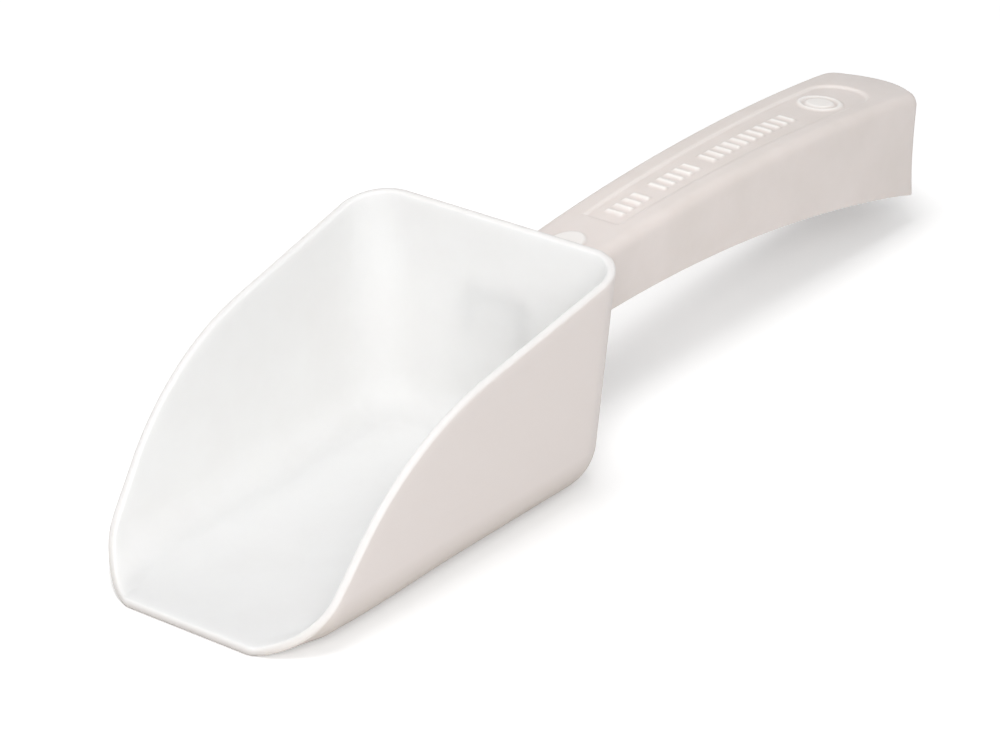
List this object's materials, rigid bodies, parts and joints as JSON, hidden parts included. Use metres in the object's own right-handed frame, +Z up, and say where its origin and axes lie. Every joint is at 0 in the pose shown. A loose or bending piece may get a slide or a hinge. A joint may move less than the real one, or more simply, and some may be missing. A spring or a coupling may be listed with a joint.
{
  "type": "feed scoop",
  "caption": "Tub-shaped moulded feed scoop with a low lip, sloping rim and a long hollow arched handle snapped onto its back wall",
  "frame": {"origin": "On the resting plane, under the middle of the whole length, on the plane of symmetry", "axes": "+Y runs from the lip to the handle's end, +Z is up out of the bowl, +X is to the right of someone looking along +Y"},
  "size_m": [0.0888, 0.331, 0.0666],
  "materials": {
    "bowl_plastic": "satin white moulded polypropylene, slightly translucent",
    "handle_plastic": "satin white moulded polypropylene"
  },
  "bodies": {
    "root": {"scoop_bowl": "bowl_plastic", "handle": "handle_plastic"}
  },
  "joints": []
}
